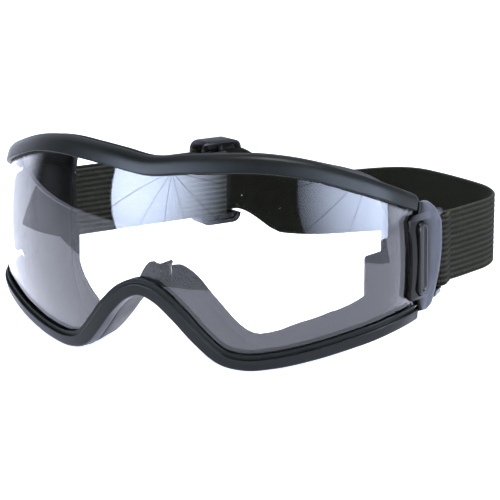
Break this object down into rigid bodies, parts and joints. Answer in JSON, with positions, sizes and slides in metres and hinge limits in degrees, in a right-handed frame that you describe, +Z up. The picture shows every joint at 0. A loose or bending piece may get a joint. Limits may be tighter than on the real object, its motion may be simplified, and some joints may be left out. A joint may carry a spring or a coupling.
{
  "type": "safety goggles",
  "caption": "Wrap-round safety goggles with a clear curved lens in a soft black rim, a face skirt, glossy side clips and a ribbed elastic headband with a slider.",
  "frame": {"origin": "centre of the bounding box in plan, at the surface the goggles stand on", "axes": "+Z up, the lens faces -Y, the headband lies towards +Y, +X is the wearer's left"},
  "size_m": [0.1694, 0.1592, 0.0741],
  "materials": {
    "soft_black": "satin",
    "skirt_black": "matte",
    "clear_lens": "polished",
    "gloss_black": "gloss",
    "lug_black": "gloss",
    "elastic_olive_black": "ribbed weave"
  },
  "bodies": {
    "goggles": {"front_frame": "soft_black", "face_skirt": "skirt_black", "lens": "clear_lens", "temple_clip_left": "gloss_black", "temple_clip_right": "gloss_black", "rim_lug_left": "lug_black", "rim_lug_right": "lug_black", "strap_loop_left": "elastic_olive_black", "strap_loop_right": "elastic_olive_black"},
    "headstrap": {"strap_band": "elastic_olive_black", "strap_return": "elastic_olive_black"},
    "slider": {"strap_slider": "gloss_black", "slider_loop": "elastic_olive_black"}
  },
  "joints": [
    {"name": "strap_tilt", "type": "hinge", "parent": "goggles", "child": "headstrap", "pos_m": [0, -0.00663, 0.03516], "axis": [1, 0, 0], "range_deg": [-15, 15]},
    {"name": "slider_slide", "type": "slide", "parent": "headstrap", "child": "slider", "axis": [-0.454, -0.891, 0], "range_m": [0, 0.02]}
  ]
}
